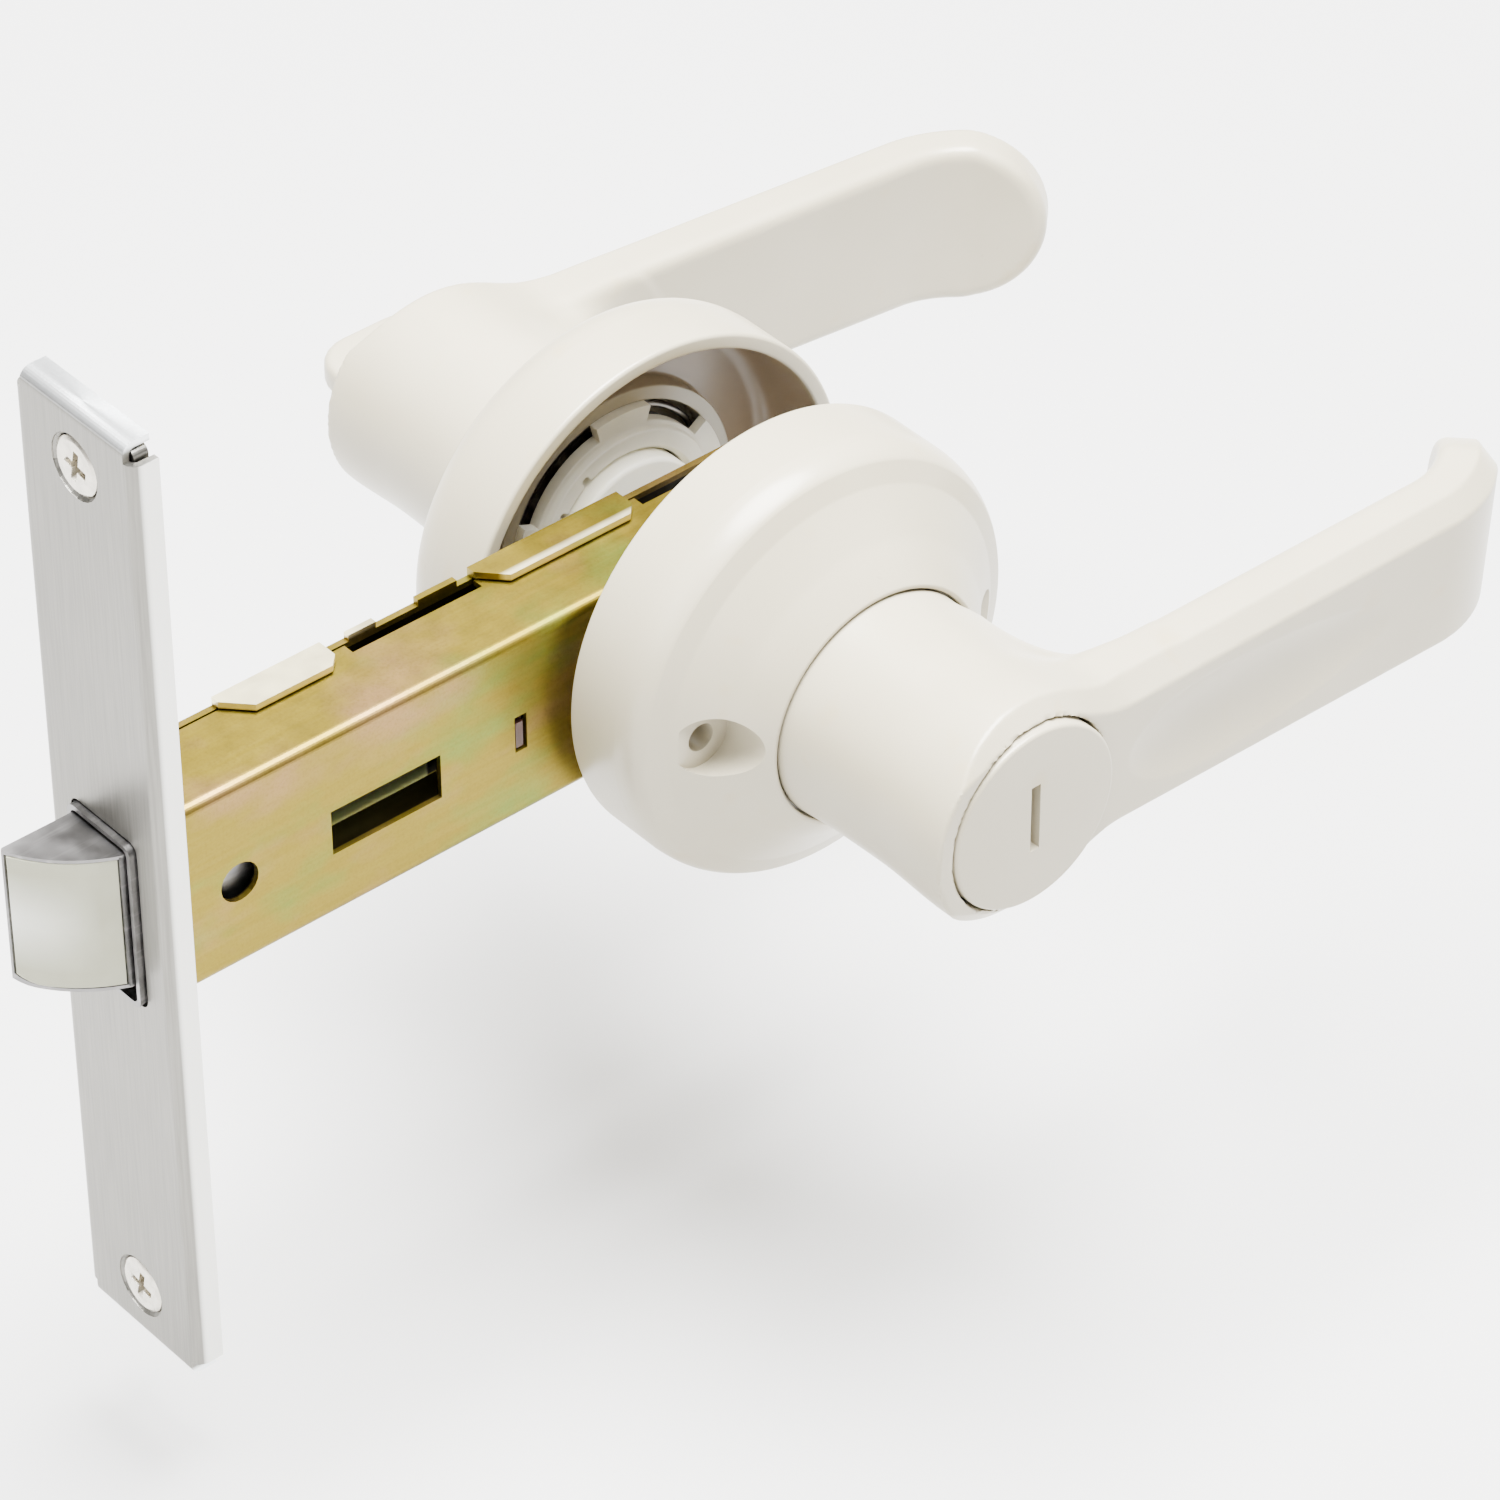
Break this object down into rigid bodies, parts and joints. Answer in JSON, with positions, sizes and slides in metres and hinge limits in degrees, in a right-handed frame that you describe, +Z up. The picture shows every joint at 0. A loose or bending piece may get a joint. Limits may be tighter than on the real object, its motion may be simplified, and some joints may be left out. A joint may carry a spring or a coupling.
{
  "type": "door lever handle",
  "caption": "Privacy lever handle set with round roses, a mortise latch and faceplate, a coin-slot disc outside and a thumb turn inside.",
  "frame": {"origin": "where the spindle axis crosses the middle plane of the latch case", "axes": "-X towards the faceplate and the door edge, -Y towards the outer side, +Y towards the inner side, +Z up"},
  "size_m": [0.2166, 0.141, 0.154],
  "materials": {
    "ivory_plastic": "glossy moulded ivory plastic",
    "stainless": "fine brushed, warm grey",
    "zinc": "dull zinc grey, lightly worn",
    "yellow_chromate": "yellow chromate over zinc plate, faint colour bands",
    "nylon": "milky moulded nylon",
    "nickel": "pale nickel plate",
    "spring_steel": "dark oiled spring steel"
  },
  "bodies": {
    "body": {"faceplate": "stainless", "fixing_plate": "zinc", "faceplate_screw_top": "nickel", "faceplate_screw_bottom": "nickel", "bolt_collar": "zinc", "case_near_half": "yellow_chromate", "case_far_half": "yellow_chromate", "tail_guide_block": "nylon", "outer_rose": "ivory_plastic", "outer_spring_cover": "nylon", "outer_return_spring": "spring_steel", "inner_rose": "ivory_plastic", "inner_spring_cover": "nylon", "inner_return_spring": "spring_steel"},
    "outer_grip": {"outer_lever": "ivory_plastic", "outer_lever_bush": "nylon", "outer_retaining_ring": "spring_steel", "spindle": "zinc", "follower": "zinc"},
    "inner_grip": {"inner_lever": "ivory_plastic", "inner_lever_bush": "nylon", "inner_retaining_ring": "spring_steel"},
    "latch": {"latch_bolt_shell": "zinc", "latch_bolt_nose": "nylon", "latch_tail": "zinc", "latch_spring": "spring_steel"},
    "coin_lock": {"coin_disc": "ivory_plastic", "privacy_shaft": "zinc"},
    "thumb_lock": {"thumb_turn": "ivory_plastic"}
  },
  "joints": [
    {"name": "outer_lever_turn", "type": "hinge", "parent": "body", "child": "outer_grip", "pos_m": [0, 0, 0], "axis": [0, 1, 0], "range_deg": [0, 50], "stiffness_Nm_per_rad": 0.5, "springref_deg": -20.05},
    {"name": "inner_lever_turn", "type": "hinge", "parent": "body", "child": "inner_grip", "pos_m": [0, 0, 0], "axis": [0, 1, 0], "range_deg": [0, 50], "stiffness_Nm_per_rad": 0.5, "springref_deg": -20.05},
    {"name": "latch_draw", "type": "slide", "parent": "body", "child": "latch", "axis": [1, 0, 0], "range_m": [0, 0.012], "stiffness_N_per_m": 200, "springref_m": -0.01},
    {"name": "coin_lock_turn", "type": "hinge", "parent": "body", "child": "coin_lock", "pos_m": [0, 0, 0], "axis": [0, 1, 0], "range_deg": [0, 90]},
    {"name": "thumb_lock_turn", "type": "hinge", "parent": "body", "child": "thumb_lock", "pos_m": [0, 0, 0], "axis": [0, 1, 0], "range_deg": [0, 90]}
  ],
  "couplings": [
    {"joint": "inner_lever_turn", "follows": "outer_lever_turn", "ratio": 1},
    {"joint": "latch_draw", "follows": "outer_lever_turn", "m_per_rad": 0.0135},
    {"joint": "thumb_lock_turn", "follows": "coin_lock_turn", "ratio": 1}
  ]
}
